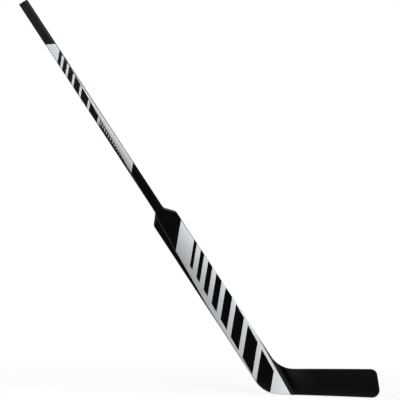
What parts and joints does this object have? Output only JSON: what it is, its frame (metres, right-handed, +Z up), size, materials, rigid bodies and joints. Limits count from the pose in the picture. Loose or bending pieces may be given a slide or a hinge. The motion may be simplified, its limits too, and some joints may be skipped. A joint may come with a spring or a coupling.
{
  "type": "hockey goalie stick",
  "caption": "Hockey goalie stick with a straight rounded shaft, a wide flat paddle and a curved blade, for stopping and passing pucks.",
  "frame": {"origin": "where the shaft's centre line meets the ice, in the middle of the flat sole under the blade's heel", "axes": "+X along the ice from heel to toe, +Y away from the front face, which the blade's toe curves towards, and +Z up from the ice; the shaft leans towards -X at its lie angle"},
  "size_m": [1.1599, 0.0421, 1.2069],
  "materials": {
    "cap_rubber": "matte",
    "shaft_laminate": "satin paint over fibre laminate",
    "paddle_laminate": "satin paint over fibre laminate",
    "blade_laminate": "satin black paint over fibre laminate",
    "foam": "closed-cell foam",
    "web_laminate": "bare fibre laminate",
    "tenon_plastic": "filled plastic",
    "heel_plastic": "dense foam",
    "damper_rubber": "soft",
    "strip_plastic": "wear-resistant plastic"
  },
  "bodies": {
    "root": {"butt_cap": "cap_rubber", "shaft_tube": "shaft_laminate", "shaft_dam": "foam", "shaft_tenon": "tenon_plastic", "paddle_front_shell": "paddle_laminate", "paddle_back_shell": "paddle_laminate", "paddle_centre_core": "foam", "paddle_toe_side_core": "foam", "paddle_heel_side_core": "foam", "paddle_toe_side_rib": "web_laminate", "paddle_heel_side_rib": "web_laminate", "heel_block": "heel_plastic", "blade_tongue": "web_laminate", "tongue_damper": "damper_rubber", "blade_front_shell": "blade_laminate", "blade_back_shell": "blade_laminate", "blade_upper_core": "foam", "blade_lower_core": "foam", "blade_rib": "web_laminate", "sole_strip": "strip_plastic"}
  },
  "joints": []
}
